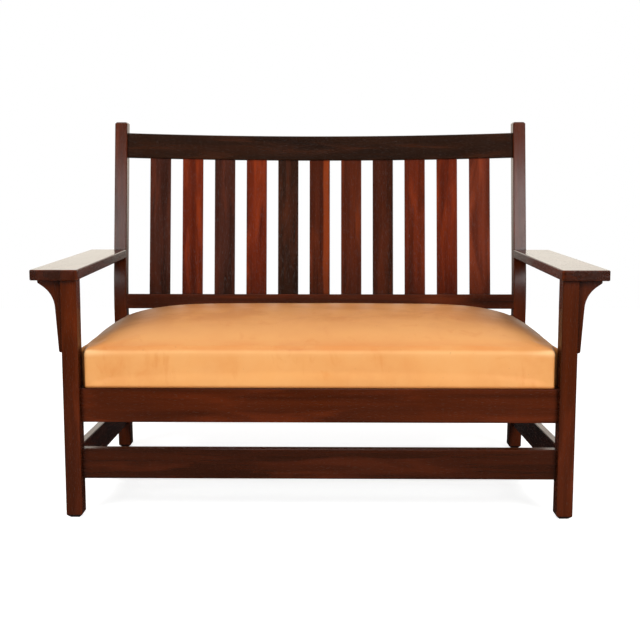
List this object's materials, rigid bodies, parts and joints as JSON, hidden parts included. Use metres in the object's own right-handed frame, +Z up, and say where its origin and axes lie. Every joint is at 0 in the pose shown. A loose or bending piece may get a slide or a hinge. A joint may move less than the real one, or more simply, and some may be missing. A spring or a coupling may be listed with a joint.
{
  "type": "settle",
  "caption": "Slatted wooden settle with a bowed leaning back, flat arms on corbels, stretchers and a sprung lift-out leather seat.",
  "frame": {"origin": "middle of the footprint box, on the floor", "axes": "+X along the settle towards its left-hand sitter's side, +Y from front to back, +Z up"},
  "size_m": [1.411, 0.7406, 1.021],
  "materials": {
    "mahogany": "dark red-brown stain, satin polish",
    "slat_wood": "dark red-brown stain, satin polish, tone differs from slat to slat",
    "plain_wood": "unfinished hardwood",
    "leather": "natural tan, worn, soft sheen",
    "stuffing": "matted fibre",
    "burlap": "coarse plain weave",
    "webbing": "jute strip",
    "dust_cloth": "black cambric",
    "spring_steel": "plain steel wire",
    "screw_steel": "plain steel"
  },
  "bodies": {
    "frame": {"front_leg_left": "mahogany", "front_leg_right": "mahogany", "rear_post_left": "mahogany", "rear_post_right": "mahogany", "arm_left": "mahogany", "arm_right": "mahogany", "corbel_left": "mahogany", "corbel_right": "mahogany", "crest_rail": "mahogany", "lower_back_rail": "mahogany", "front_seat_rail": "mahogany", "rear_seat_rail": "mahogany", "front_stretcher": "mahogany", "rear_stretcher": "mahogany", "side_seat_rail_left": "mahogany", "side_seat_rail_right": "mahogany", "side_stretcher_left": "mahogany", "side_stretcher_right": "mahogany", "back_slat_01": "slat_wood", "back_slat_02": "slat_wood", "back_slat_03": "slat_wood", "back_slat_04": "slat_wood", "back_slat_05": "slat_wood", "back_slat_06": "slat_wood", "back_slat_07": "slat_wood", "back_slat_08": "slat_wood", "back_slat_09": "slat_wood", "back_slat_10": "slat_wood", "back_slat_11": "slat_wood", "front_corner_block_left": "plain_wood", "front_corner_block_right": "plain_wood", "rear_corner_block_left": "plain_wood", "rear_corner_block_right": "plain_wood", "seat_cleat_left": "plain_wood", "seat_cleat_right": "plain_wood", "seat_cleat_rear": "plain_wood", "corner_block_screws": "screw_steel", "seat_cleat_screws": "screw_steel", "corbel_dowels": "plain_wood"},
    "seat": {"seat_frame_front": "plain_wood", "seat_frame_rear": "plain_wood", "seat_frame_left": "plain_wood", "seat_frame_right": "plain_wood", "seat_brace_1": "plain_wood", "seat_brace_2": "plain_wood", "webbing_lengthwise": "webbing", "webbing_crosswise": "webbing", "seat_springs": "spring_steel", "seat_burlap": "burlap", "seat_padding": "stuffing", "seat_leather": "leather", "seat_dust_cover": "dust_cloth"}
  },
  "joints": [
    {"name": "seat_lift", "type": "slide", "parent": "frame", "child": "seat", "axis": [0, 0, 1], "range_m": [0, 0.15]}
  ]
}
